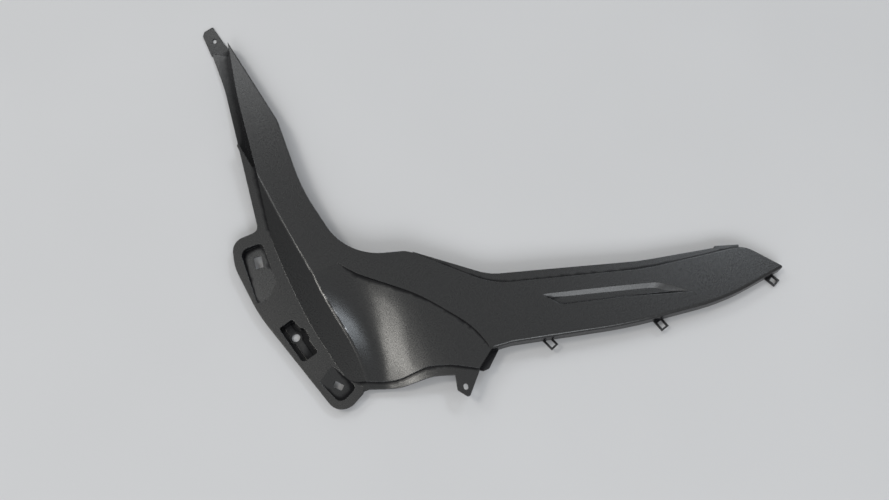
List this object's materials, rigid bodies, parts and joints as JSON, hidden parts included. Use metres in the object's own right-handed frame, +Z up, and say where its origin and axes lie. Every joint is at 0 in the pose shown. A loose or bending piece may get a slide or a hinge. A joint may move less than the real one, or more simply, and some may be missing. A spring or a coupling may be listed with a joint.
{
  "type": "scooter side cover",
  "caption": "Boomerang-shaped moulded scooter side cover with a fluted elbow, a pocketed fixing flange, screw tabs and a pointed skirt with catch loops.",
  "frame": {"origin": "middle of the bounding box on the plane the cover lies on", "axes": "+X along the skirt towards its tip, +Y towards the top of the arm, +Z up out of the show face"},
  "size_m": [0.8308, 0.5864, 0.038],
  "materials": {
    "cover_paint": "satin dark grey metallic paint on moulded plastic"
  },
  "bodies": {
    "root": {"side_cover": "cover_paint"}
  },
  "joints": []
}
